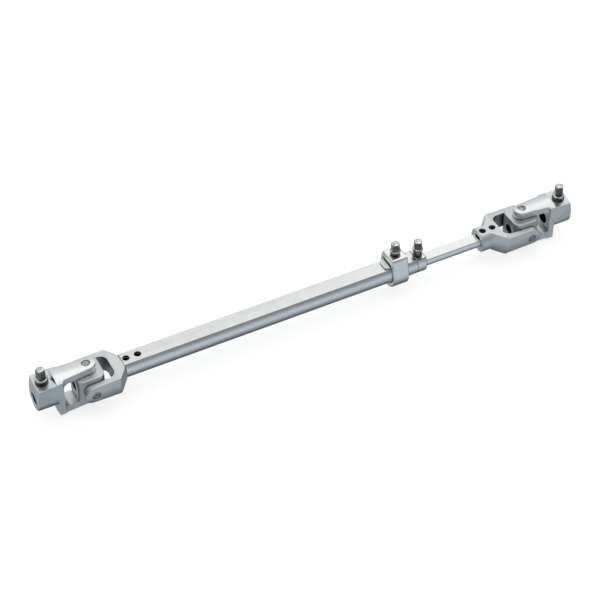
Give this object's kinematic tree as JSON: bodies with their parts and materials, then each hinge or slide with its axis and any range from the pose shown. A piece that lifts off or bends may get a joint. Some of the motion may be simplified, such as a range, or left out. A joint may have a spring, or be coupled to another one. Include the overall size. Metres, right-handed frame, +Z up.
{
  "type": "universal joint shaft",
  "caption": "Telescoping metal drive shaft with a universal joint and a clamping hub at each end, locked by square-head key bolts.",
  "frame": {"origin": "midway between the two hub end faces, on the surface that the lower fork arms rest on, under the shaft's centre line", "axes": "+X along the shaft from the tube end to the rod end, +Z up through the key bolts, +Y to the rear; the joint axis lies at Z = 20 mm"},
  "size_m": [0.4992, 0.04, 0.0506],
  "materials": {
    "yokes": "satin, turned and milled",
    "cross_blocks": "satin, milled",
    "tube": "satin, drawn lengthwise",
    "rod": "finely brushed, drawn lengthwise",
    "clamp": "satin, milled",
    "key_bolts": "bright nickel plating",
    "washers": "bright",
    "pins": "staked ends",
    "pressure_plates": "satin",
    "joint_bushes": "plain bearing bronze",
    "set_screws": "black oxide"
  },
  "bodies": {
    "tube": {"outer_tube": "tube", "left_inner_yoke": "yokes", "left_front_pin": "pins", "left_rear_pin": "pins", "left_set_screw_1": "set_screws", "left_set_screw_2": "set_screws", "tube_end_bush": "clamp", "tube_lock_washer": "washers"},
    "left_cross": {"left_cross_block": "cross_blocks", "left_upper_bush": "joint_bushes", "left_lower_bush": "joint_bushes", "left_front_bush": "joint_bushes", "left_rear_bush": "joint_bushes"},
    "left_fork": {"left_end_yoke": "yokes", "left_upper_pin": "pins", "left_lower_pin": "pins", "left_lock_washer": "washers"},
    "left_bolt": {"left_key_bolt": "key_bolts"},
    "rod": {"inner_rod": "rod", "right_inner_yoke": "yokes", "right_front_pin": "pins", "right_rear_pin": "pins", "collar_pressure_plate": "pressure_plates", "right_set_screw_1": "set_screws", "right_set_screw_2": "set_screws"},
    "right_cross": {"right_cross_block": "cross_blocks", "right_upper_bush": "joint_bushes", "right_lower_bush": "joint_bushes", "right_front_bush": "joint_bushes", "right_rear_bush": "joint_bushes"},
    "right_fork": {"right_end_yoke": "yokes", "right_upper_pin": "pins", "right_lower_pin": "pins", "right_lock_washer": "washers"},
    "right_bolt": {"right_key_bolt": "key_bolts"},
    "clamp": {"clamp_block": "clamp", "clamp_pressure_plate": "pressure_plates", "clamp_lock_washer": "washers"},
    "clamp_bolt": {"clamp_key_bolt": "key_bolts"},
    "tube_bolt": {"tube_key_bolt": "key_bolts"}
  },
  "joints": [
    {"name": "left_joint_pitch", "type": "hinge", "parent": "tube", "child": "left_cross", "pos_m": [-0.2037, 0, 0.02], "axis": [0, 1, 0], "range_deg": [-45, 45]},
    {"name": "left_joint_yaw", "type": "hinge", "parent": "left_cross", "child": "left_fork", "pos_m": [-0.2037, 0, 0.02], "axis": [0, 0, 1], "range_deg": [-45, 45]},
    {"name": "rod_slide", "type": "slide", "parent": "tube", "child": "rod", "axis": [1, 0, 0], "range_m": [-0.05, 0.08]},
    {"name": "right_joint_pitch", "type": "hinge", "parent": "rod", "child": "right_cross", "pos_m": [0.2037, 0, 0.02], "axis": [0, 1, 0], "range_deg": [-45, 45]},
    {"name": "right_joint_yaw", "type": "hinge", "parent": "right_cross", "child": "right_fork", "pos_m": [0.2037, 0, 0.02], "axis": [0, 0, 1], "range_deg": [-45, 45]},
    {"name": "clamp_slide", "type": "slide", "parent": "tube", "child": "clamp", "axis": [1, 0, 0], "range_m": [-0.2, 0.008]},
    {"name": "left_bolt_turn", "type": "hinge", "parent": "left_fork", "child": "left_bolt", "pos_m": [-0.2413, 0, 0.04], "axis": [0, 0, 1], "range_deg": [0, 1800]},
    {"name": "right_bolt_turn", "type": "hinge", "parent": "right_fork", "child": "right_bolt", "pos_m": [0.2413, 0, 0.04], "axis": [0, 0, 1], "range_deg": [0, 1800]},
    {"name": "clamp_bolt_turn", "type": "hinge", "parent": "clamp", "child": "clamp_bolt", "pos_m": [0.0778, 0, 0.04], "axis": [0, 0, 1], "range_deg": [0, 1440]},
    {"name": "tube_bolt_turn", "type": "hinge", "parent": "tube", "child": "tube_bolt", "pos_m": [0.0999, 0, 0.04], "axis": [0, 0, 1], "range_deg": [0, 1440]}
  ]
}
